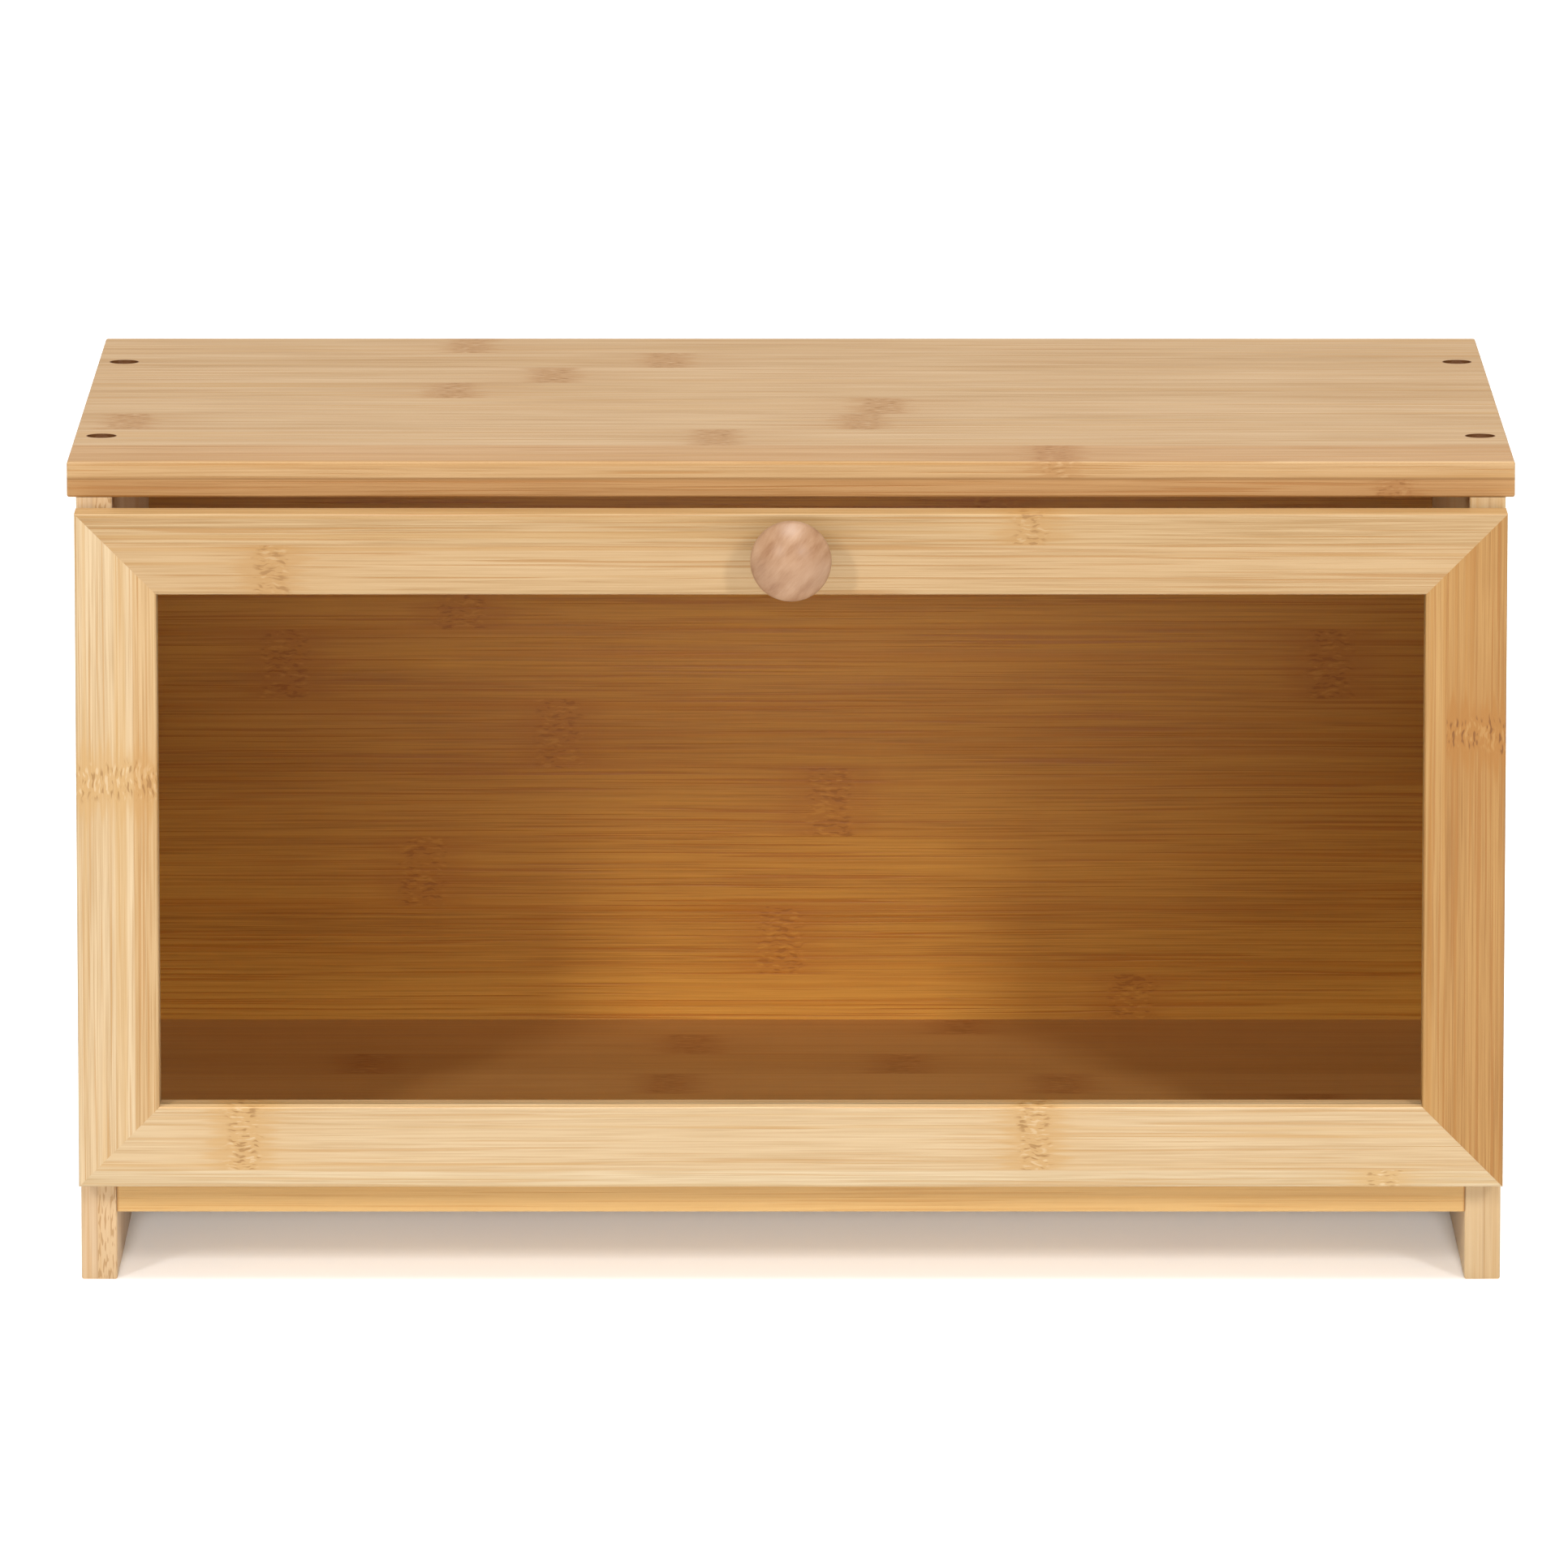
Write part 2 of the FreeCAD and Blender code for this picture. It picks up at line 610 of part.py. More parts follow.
def screw(name, kind, hexagonal, where):
    """Screw whose head's top is at its own origin and whose tip points down its -Z axis."""
    seat = f"-{kind}_head_height"
    neck = f"-{kind}_head_height - {kind}_length + {kind}_tip"
    head = primitive("Cone", f"{name}_head", seat, Radius1=f"{kind}_seat_radius",
                     Radius2=f"{kind}_head_radius", Height=f"{kind}_head_height")
    shank = primitive("Cylinder", f"{name}_shank", neck, Radius=f"{kind}_shank_radius",
                      Height=f"{kind}_length - {kind}_tip")
    tip = primitive("Cone", f"{name}_tip", f"{neck} - {kind}_tip", Radius1=f"{kind}_shank_radius / 4",
                    Radius2=f"{kind}_shank_radius", Height=f"{kind}_tip")
    blank = combine("MultiFuse", f"{name}_blank", [head, shank, tip])
    floor = f"-{kind}_recess_depth"
    depth = f"{kind}_recess_depth + 1"
    reach = f"{kind}_recess"
    if hexagonal:
        drive = primitive("Prism", f"{name}_drive", floor, Circumradius=reach, Height=depth)
        drive.Polygon = 6
    else:
        slots = []
        for number, turn in enumerate((0, 90), start=1):
            slot = primitive("Box", f"{name}_slot_{number}", floor, Length=f"2 * {reach}",
                             Width=f"{reach} / 2", Height=depth)
            along, across = f"-{reach}", f"-{reach} / 4"
            corner = (along, across) if turn == 0 else (f"{reach} / 4", along)
            place(slot, *corner, floor, (0, 0, 1), turn)
            slots.append(slot)
        drive = combine("MultiFuse", f"{name}_drive", slots)
    whole = combine("Cut", name, (blank, drive))
    place(whole, *where)
    return whole


def panel_screws():
    """Screws down through the shelf, and inwards through the side panels into the floor's ends."""
    ends = ("front + screw_inset", "rear - screw_inset")
    corners = [(side, y) for side in (-1, 1) for y in ends]
    shelf = [screw(f"top_screw_{number}", "panel_screw", True,
                   (f"{side} * panel_middle", y, "shelf_underside + panel_grip + panel_screw_head_height"))
             for number, (side, y) in enumerate(corners, start=1)]
    group("top_screws", shelf)
    head = "outer_side - counterbore_depth + panel_screw_head_height"
    floor = [screw(f"bottom_screw_{number}", "panel_screw", True,
                   (f"{side} * ({head})", y, "floor_middle", (0, 1, 0), side * 90))
             for number, (side, y) in enumerate(corners, start=1)]
    group("bottom_screws", floor)


def hinge_screws():
    """Two countersunk screws through each hinge leaf."""
    places = [f"{side} * hinge_reach + {step} * leaf_screw_spread" for side in (-1, 1) for step in (-1, 1)]
    group("hinge_body_screws",
          [screw(f"floor_leaf_screw_{number}", "leaf_screw", False,
                 (x, "hinge_axis_y + leaf_screw_offset", "floor_top"))
           for number, x in enumerate(places, start=1)])
    group("hinge_door_screws",
          [screw(f"door_leaf_screw_{number}", "leaf_screw", False,
                 (x, "door_back", "hinge_axis_height + leaf_screw_offset", (1, 0, 0), -90))
           for number, x in enumerate(places, start=1)])


def knob_screw():
    """Screw from behind the top rail into the knob."""
    whole = screw("knob_screw", "knob_screw", False,
                  ("0", "door_back - knob_counterbore_depth + knob_screw_head_height", "knob_height",
                   (1, 0, 0), -90))
    whole.Label = "knob_screw"


# ---- the whole box --------------------------------------------------------------------------------

NODES = (
    "top_board", "left_side_panel", "right_side_panel", "bottom_board", "back_panel",
    "top_screws", "bottom_screws", "left_catch_magnet", "right_catch_magnet",
    "left_hinge_body_leaf", "right_hinge_body_leaf", "left_hinge_pin", "right_hinge_pin",
    "hinge_body_screws",
    "door_top_rail", "door_bottom_rail", "door_left_stile", "door_right_stile", "mitre_keys",
    "window_pane", "door_knob", "knob_screw", "left_hinge_door_leaf", "right_hinge_door_leaf",
    "hinge_door_screws", "left_strike_plate", "right_strike_plate",
)


def build():
    fill_sheet()
    top_board()
    side_panel("left_side_panel", -1)
    side_panel("right_side_panel", 1)
    bottom_board()
    back_panel()
    door_frame()
    window_pane()
    mitre_keys()
    door_knob()
    hinges()
    catches()
    panel_screws()
    hinge_screws()
    knob_screw()
    doc.recompute()


def check():
    """Stop if any object failed or any node is not a valid solid."""
    for item in doc.Objects:
        if {"Invalid", "Error"} & set(item.State):
            raise RuntimeError(f"{item.Name}: {item.State}")
    for name in NODES:
        shape = doc.getObject(name).Shape
        if shape.isNull() or not shape.isValid() or not shape.Solids:
            raise RuntimeError(f"{name} has no valid solid")


def export():
    os.makedirs("parts", exist_ok=True)
    for name in NODES:
        node = doc.getObject(name)
        node.Shape.exportStep(f"parts/{node.Label}.step")
        print(f"{name}: {len(node.Shape.Solids)} solid(s), {node.Shape.Volume:.0f} mm3")


build()
check()
export()
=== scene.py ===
"""Bread box of laminated bamboo with a drop-front window door.

Puts materials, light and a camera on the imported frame.

Lengths are metres in the row frame. A board's own coordinates are u along its grain, v across its strips
and w through its thickness, each measured from the board's lowest corner.
"""

import math
import random

import bpy
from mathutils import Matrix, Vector


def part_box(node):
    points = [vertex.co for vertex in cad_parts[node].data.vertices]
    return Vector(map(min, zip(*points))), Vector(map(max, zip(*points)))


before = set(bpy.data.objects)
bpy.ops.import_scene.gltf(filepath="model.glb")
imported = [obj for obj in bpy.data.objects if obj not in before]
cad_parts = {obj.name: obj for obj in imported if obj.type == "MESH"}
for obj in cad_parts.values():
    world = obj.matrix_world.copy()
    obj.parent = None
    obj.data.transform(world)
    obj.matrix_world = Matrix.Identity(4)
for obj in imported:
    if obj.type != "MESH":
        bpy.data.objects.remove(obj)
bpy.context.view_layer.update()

# ---------------------------------------------------------------------------------------- colours


def linear(red, green, blue):
    """A display colour, 0 to 255, as the linear colour that shaders take."""

    def channel(value):
        share = value / 255
        return share / 12.92 if share <= 0.04045 else ((share + 0.055) / 1.055) ** 2.4

    return channel(red), channel(green), channel(blue)


def scaled(colour, *factors):
    """A colour with each channel multiplied, kept a possible surface colour."""
    return tuple(min(0.95, value * factor) for value, factor in zip(colour, factors))


# ------------------------------------------------------------------------------- material writing


class Graph:
    """Writes one material's nodes. Each call returns the socket that the next call takes."""

    def __init__(self, name):
        self.material = bpy.data.materials.new(name)
        self.material.use_nodes = True
        self.tree = self.material.node_tree
        self.tree.nodes.clear()

    def node(self, kind, **settings):
        made = self.tree.nodes.new("ShaderNode" + kind)
        for key, value in settings.items():
            setattr(made, key, value)
        return made

    def feed(self, socket, value):
        if isinstance(value, bpy.types.NodeSocket):
            self.tree.links.new(value, socket)
        elif socket.type == "RGBA":
            socket.default_value = (*value[:3], 1)
        else:
            socket.default_value = value

    def math(self, operation, *values, clamp=False):
        made = self.node("Math", operation=operation, use_clamp=clamp)
        for socket, value in zip(made.inputs, values):
            self.feed(socket, value)
        return made.outputs[0]

    def times(self, value, factor, clamp=False):
        return self.math("MULTIPLY", value, factor, clamp=clamp)

    def minus(self, value, less):
        return self.math("SUBTRACT", value, less)

    def add(self, *values):
        total = values[0]
        for value in values[1:]:
            total = self.math("ADD", total, value)
        return total

    def axes(self):
        """The surface point's row-frame coordinates at rest, as three sockets by axis letter."""
        place = self.node("TexCoord")
        split = self.node("SeparateXYZ")
        self.feed(split.inputs[0], place.outputs["Object"])
        return dict(zip("XYZ", split.outputs))

    def join(self, *values):
        made = self.node("CombineXYZ")
        for socket, value in zip(made.inputs, values):
            self.feed(socket, value)
        return made.outputs[0]

    def noise(self, vector, per_metre, offset=0.0, detail=1.0):
        """Noise with its own scale on each axis, centred on 0 and reaching about 0.5 either way."""
        place = self.node("Mapping")
        self.feed(place.inputs["Vector"], vector)
        place.inputs["Scale"].default_value = per_metre
        place.inputs["Location"].default_value = (offset, offset * 1.7, offset * 0.6)
        made = self.node("TexNoise")
        self.feed(made.inputs["Vector"], place.outputs[0])
        made.inputs["Scale"].default_value = 1
        made.inputs["Detail"].default_value = detail
        return self.minus(made.outputs[0], 0.5)

    def random(self, key):
        """A value from 0 to 1 that is the same wherever key is the same."""
        made = self.node("TexWhiteNoise", noise_dimensions="1D")
        self.feed(made.inputs["W"], key)
        return made.outputs[0]

    def ease(self, value, low, high):
        """0 below low, 1 above high and smooth between. Low may be the larger of the two."""
        flip = low > high
        made = self.node("MapRange", interpolation_type="SMOOTHSTEP")
        self.feed(made.inputs["Value"], value)
        self.feed(made.inputs["From Min"], min(low, high))
        self.feed(made.inputs["From Max"], max(low, high))
        self.feed(made.inputs["To Min"], 1.0 if flip else 0.0)
        self.feed(made.inputs["To Max"], 0.0 if flip else 1.0)
        return made.outputs[0]

    def ramp(self, value, stops, interpolation="LINEAR"):
        """A colour ramp. stops are (place, colour) pairs in order, with colours as three numbers."""
        made = self.node("ValToRGB")
        ramp = made.color_ramp
        ramp.interpolation = interpolation
        while len(ramp.elements) < len(stops):
            ramp.elements.new(1.0)
        for element, (place, colour) in zip(ramp.elements, stops):
            element.position = place
            element.color = (*colour, 1)
        self.feed(made.inputs[0], value)
        return made.outputs[0]

    def mix(self, share, under, over, blend="MIX"):
        made = self.node("Mix", data_type="RGBA", blend_type=blend)
        factor, first, second, result = 0, 6, 7, 2  # the colour sockets among those of every data type
        self.feed(made.inputs[factor], share)
        self.feed(made.inputs[first], under)
        self.feed(made.inputs[second], over)
        return made.outputs[result]

    def tint(self, share, colour, factors):
        """The colour multiplied channel by channel by factors, where share is 1."""
        return self.mix(share, colour, factors, "MULTIPLY")

    def surface(self, colour, roughness, height=None, depth=0.0, **sockets):
        """Ends the material in one Principled shader, with bump of the given depth in metres."""
        shader = self.node("BsdfPrincipled")
        self.feed(shader.inputs["Base Color"], colour)
        self.feed(shader.inputs["Roughness"], roughness)
        for key, value in sockets.items():
            self.feed(shader.inputs[key.replace("_", " ")], value)
        if height is not None:
            bump = self.node("Bump")
            bump.inputs["Strength"].default_value = 1
            bump.inputs["Distance"].default_value = depth
            self.feed(bump.inputs["Height"], height)
            self.feed(shader.inputs["Normal"], bump.outputs[0])
        end = self.node("OutputMaterial")
        self.feed(end.inputs["Surface"], shader.outputs[0])
        return self.material


# ----------------------------------------------------------------------------------------- bamboo

# Bands beside an edge or a line: how far from it a mark has faded out, and how far off it is still full.
SEAM_BAND = (0.00045, 0.00012)
GLUE_AND_SHADE_BAND = (0.0006, 0.00015)
FRONT_SHADE_BAND = (0.0009, 0.0002)
FLECK_BAND = (0.0012, 0.0004)
HIGHLIGHT_BAND = (0.0003, 0.0001)

FIBRE_DRIFT = 0.0009  # how far fibres wander sideways along a board
TICK_BEND = 0.0016  # how far the short ticks in a knuckle bend
FIBRE_RELIEF = 0.00006
OFF_BOARD = 9.0  # a distance to the nearest knuckle where a board has none


def nearest_knuckle(graph, along, turn, count, start, length, slide, rows):
    """Distance along the grain to the nearest knuckle, where a culm's node crosses this point's strip.

    Each row holds one place for each strip in turn, a row-frame coordinate or None. A ramp holds 0 to 1
    only, so a place is kept as a share of reach, which ends past the board. A strip without a knuckle has
    its place there.
    """
    reach = 1.25 * length
    near = OFF_BOARD
    for row in rows:
        if not row:
            continue
        stops = []
        for number in range(count):
            known = number < len(row) and row[number] is not None
            share = (row[number] - start) / reach if known else 1.0
            stops.append((number / count, (share, share, share)))
        spot = graph.add(graph.times(graph.ramp(turn, stops, "CONSTANT"), reach), slide)
        near = graph.math("MINIMUM", near, graph.math("ABSOLUTE", graph.minus(along, spot)))
    return near


def knuckle_zones(graph, near, raw, fibre, grain, half, fade, seed):
    """How much a point is in a knuckle's halo, feathered rim and core, on its dark ticks, and on its pale
    ticks, which are painted glints.

    grain: along, v and w. half: half the core's width. fade: where the rim ends, in halves.
    """
    wobble = graph.noise(raw, (120, 420, 420), seed + 17)
    fingers = graph.noise(fibre, (40, 900, 900), seed + 13)
    core = graph.ease(graph.add(near, graph.times(wobble, 0.007)), half * 1.1, half * 0.6)
    rim = graph.ease(graph.add(near, graph.times(fingers, 0.020)), half * fade, half)
    halo = graph.ease(near, half * 6, half)
    along, v, w = grain
    bent = graph.add(v, graph.times(graph.noise(raw, (300, 90, 90), seed + 19), TICK_BEND))
    tick = graph.noise(graph.join(along, bent, w), (300, 1150, 1150), seed + 23)
    dark_ticks = graph.times(graph.ease(tick, 0.05, 0.16), core)
    # The pale ticks are painted glints, highlights in the knuckle's core.
    painted_glints = graph.times(graph.ease(tick, -0.06, -0.18), core)
    return halo, rim, core, dark_ticks, painted_glints


def bamboo(name, low, size, axes, colour, seed, strip, shift=0.0, joint=None, lower_ply_tone_and_shade=(1, 1, 1),
           contrast=1.0, tone_spread=0.3, knuckles=(), again=(), ply_slide=0.0, knuckle_half=0.0055,
           knuckle_strength=1.0, knuckle_tint=(0.88, 0.72, 0.46), knuckle_fade=2.3, glue=0.5,
           strip_tones_and_shade=(), inside_shade_only=False, painted_end_shade=0.0, front_edge_shade=None, far_edge_highlight=None,
           flecks=None, shaded_holes=None):
    """Laminated bamboo.

    axes: letters of u, v and w. strip: strip width; shift moves the first strip's edge.
    strip_tones_and_shade: one colour factor for each strip in turn, only below the glue line where
    inside_shade_only; the strips' own tones, and on the back panel a darkening of its top strips inside,
    which is painted shade under the top board.
    joint: height w of the glue line between two plies, glue is how dark it shows, and
    lower_ply_tone_and_shade tints what
    lies below it: a ply's own tone, and on the bottom board and the back panel the difference that leaves
    the face inside the box darker and more orange, which is painted shade. knuckles and again: one place
    for each strip in turn, a row-frame coordinate, where the culm's nodes cross it; ply_slide moves them in
    the lower ply. knuckle_fade: where a knuckle's colour ends, in half-widths. painted_end_shade darkens the
    board's two ends, painted shade in the joints there. front_edge_shade: colour factors of the edge at v =
    0, which darken it as painted shade. far_edge_highlight: colour factors of the edge at the largest v,
    which lighten it as a painted highlight. flecks: the ply, 0 or 1, whose sawn edge at v = 0 shows cut
    vascular
    bundles as dashes. drilled: what in_holes takes, for holes whose walls are darkened with painted shade.
    """
    graph = Graph(name)
    place = graph.axes()
    along, across, through = (graph.minus(place[letter], low["XYZ".index(letter)]) for letter in axes)
    start = low["XYZ".index(axes[0])]
    length, width = (size["XYZ".index(letter)] for letter in axes[:2])

    # Fibres drift sideways a little along the board, all together.
    raw = graph.join(along, across, through)
    drift = graph.times(graph.noise(raw, (8, 25, 25), seed), FIBRE_DRIFT)
    v = graph.add(across, drift)
    w = graph.add(through, graph.times(drift, 0.6))

    # Which strip and which ply this point is in. Turn says which strip as a share of them all.
    counted = graph.math("DIVIDE", graph.add(across, shift), strip)
    index = graph.math("FLOOR", counted)
    within = graph.math("FRACT", counted)
    count = max(1, math.ceil((width + shift) / strip))
    turn = graph.math("DIVIDE", graph.add(index, 0.5), count)
    upper = graph.math("GREATER_THAN", through, joint if joint is not None else -1.0)
    lower = graph.minus(1.0, upper)
    key = graph.add(index, graph.times(upper, 13.0), seed)
    tone = graph.minus(graph.random(key), 0.5)

    # Each strip has its own fibres, so its noise starts somewhere else.
    fibre = graph.join(graph.add(along, graph.times(key, 0.37)), v, w)
    hair = graph.noise(fibre, (45, 3200, 3200), seed)
    fine = graph.noise(fibre, (16, 1700, 1700), seed + 3)
    line = graph.noise(fibre, (11, 1350, 1350), seed + 5)
    vein = graph.noise(fibre, (3.5, 560, 560), seed + 6, detail=0.0)
    streak = graph.noise(fibre, (3, 150, 150), seed + 8)
    cloud = graph.noise(fibre, (16, 50, 50), seed + 11, detail=2.0)

    slide = graph.times(lower, ply_slide)
    near = nearest_knuckle(graph, along, turn, count, start, length, slide, (knuckles, again))
    halo, rim, core, dark_ticks, painted_glints = knuckle_zones(
        graph, near, raw, fibre, (along, v, w), knuckle_half, knuckle_fade, seed
    )

    # Colour: from golden brown fibres to pale ones about the board's own colour.
    level = graph.add(
        0.5,
        graph.times(hair, 0.8 * contrast),
        graph.times(fine, 0.95 * contrast),
        graph.times(streak, 0.55 * contrast),
        graph.times(cloud, 0.4 * contrast),
        graph.times(tone, tone_spread),
    )
    dark = scaled(colour, 0.74, 0.64, 0.48)
    pale = scaled(colour, 1.14, 1.20, 1.32)
    amber = scaled(colour, 0.80, 0.62, 0.38)
    gold = scaled(colour, 0.92, 0.78, 0.52)
    umber = scaled(colour, 0.52, 0.36, 0.18)
    fleck_brown = scaled(colour, 0.62, 0.46, 0.26)
    # Painted shade for the walls of the counterbores.
    bore_shade = scaled(colour, 0.24, 0.12, 0.035)
    rust = scaled(colour, *knuckle_tint)
    shown = graph.ramp(level, [(0.0, dark), (0.5, colour), (1.0, pale)])
    lines = graph.times(graph.ease(line, 0.07, 0.16), 0.68 * contrast)
    shown = graph.mix(lines, shown, amber)
    shown = graph.mix(graph.times(graph.ease(vein, 0.08, 0.24), 0.45 * contrast), shown, gold)
    for zone, share in ((halo, 0.16), (rim, 0.45), (core, 0.30)):
        shown = graph.mix(graph.times(zone, share * knuckle_strength), shown, rust)
    shown = graph.mix(graph.times(dark_ticks, 0.55 * knuckle_strength, clamp=True), shown, umber)
    # Painted glints: pale ticks in the knuckle cores.
    shown = graph.mix(graph.times(painted_glints, 0.5), shown, pale)

    # Strip tints: the strips' own tones, and on the back panel a darkening of the top strips inside, painted
    # shade under the top board.
    if strip_tones_and_shade:
        stops = [(number / count, tint) for number, tint in enumerate(strip_tones_and_shade)]
        where = lower if inside_shade_only else 1.0
        shown = graph.tint(where, shown, graph.ramp(turn, stops, "CONSTANT"))

    # Seams between strips, the glue line between plies, painted shade on the edge at v = 0, a painted
    # highlight on the edge at the largest v and painted shade in the joints at the ends.
    from_middle = graph.math("ABSOLUTE", graph.minus(within, 0.5))
    seam = graph.ease(from_middle, *(0.5 - reach / strip for reach in SEAM_BAND))
    shown = graph.mix(graph.times(seam, 0.30), shown, amber)
    # lower_ply_tone_and_shade: a ply's own tone, and on the bottom board and the back panel painted shade on
    # the face inside the box.
    if joint is not None:
        shown = graph.tint(1.0, shown, graph.mix(upper, lower_ply_tone_and_shade, (1, 1, 1)))
        from_joint = graph.math("ABSOLUTE", graph.minus(through, joint))
        shown = graph.mix(graph.times(graph.ease(from_joint, *GLUE_AND_SHADE_BAND), glue), shown, umber)
    # Painted shade: the edge at v = 0 darker than the face.
    if front_edge_shade is not None:
        shown = graph.tint(graph.ease(across, *FRONT_SHADE_BAND), shown, front_edge_shade)
    # Painted highlight: the edge at the largest v, a rail's top face, lighter than the rest.
    if far_edge_highlight is not None:
        highlit = graph.ease(across, *(width - reach for reach in HIGHLIGHT_BAND))
        shown = graph.tint(highlit, shown, far_edge_highlight)
    # Painted shade in the joints at the board's two ends.
    if painted_end_shade:
        from_end = graph.math("MINIMUM", along, graph.minus(length, along))
        shown = graph.mix(graph.times(graph.ease(from_end, *GLUE_AND_SHADE_BAND), painted_end_shade), shown, umber)
    if flecks is not None:
        sawn = graph.times(upper if flecks else lower, graph.ease(across, *FLECK_BAND))
        shown = graph.mix(graph.times(sawn, 0.45), shown, gold)
        dash = graph.noise(raw, (330, 1900, 1900), seed + 29, detail=0.0)
        dashes = graph.times(graph.ease(dash, 0.05, 0.14), sawn)
        shown = graph.mix(graph.times(dashes, 0.75), shown, fleck_brown)
    # Painted shade on the counterbores' walls.
    if shaded_holes is not None:
        shown = graph.mix(in_holes(graph, place, *shaded_holes), shown, bore_shade)

    roughness = graph.add(0.50, graph.times(fine, 0.25), graph.times(lines, -0.10))
    height = graph.add(graph.times(hair, 0.6), fine, graph.times(lines, -0.8), graph.times(dark_ticks, -0.35))
    return graph.surface(shown, roughness, height, FIBRE_RELIEF, Specular_IOR_Level=0.35)


HOLE_RIM = (0.0004, 0.0001)  # how far outside a hole its painted shade has faded out, and is still full


def in_holes(graph, place, centre, spacing, radius):
    """1 inside four upright holes laid out about centre by spacing = (x, y), on their walls too."""
    away = []
    for letter, middle, apart in zip("XY", centre, spacing):
        from_middle = graph.math("ABSOLUTE", graph.minus(place[letter], middle))
        away.append(graph.minus(from_middle, apart / 2))
    square = graph.add(*(graph.times(gap, gap) for gap in away))
    return graph.ease(square, *((radius + reach) ** 2 for reach in HOLE_RIM))


def scattered(count, top, seed):
    """One knuckle place, up to the height top, for each strip of an upright board."""
    draw = random.Random(seed)
    return [draw.uniform(0.06, 0.94) * top for _ in range(count)]


# Three colours of bamboo: the top board, the plain boards, and the inner face of the back panel, which
# is darker and more orange as painted shade inside the box.
HONEY = linear(193, 160, 118)
WHEAT = linear(210, 178, 140)
SHADED_CARAMEL = linear(203, 141, 52)

# As in the CAD model.
SCREW_HEAD_RADIUS = 0.0035
COUNTERBORE_RADIUS = 0.004


def hole_layout():
    """Centre, spacing and radius of the four counterbores in the top board, from the screws in them."""
    low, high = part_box("top_screws")
    centre = (low + high) / 2
    head = 2 * SCREW_HEAD_RADIUS
    return centre[:2], (high.x - low.x - head, high.y - low.y - head), COUNTERBORE_RADIUS


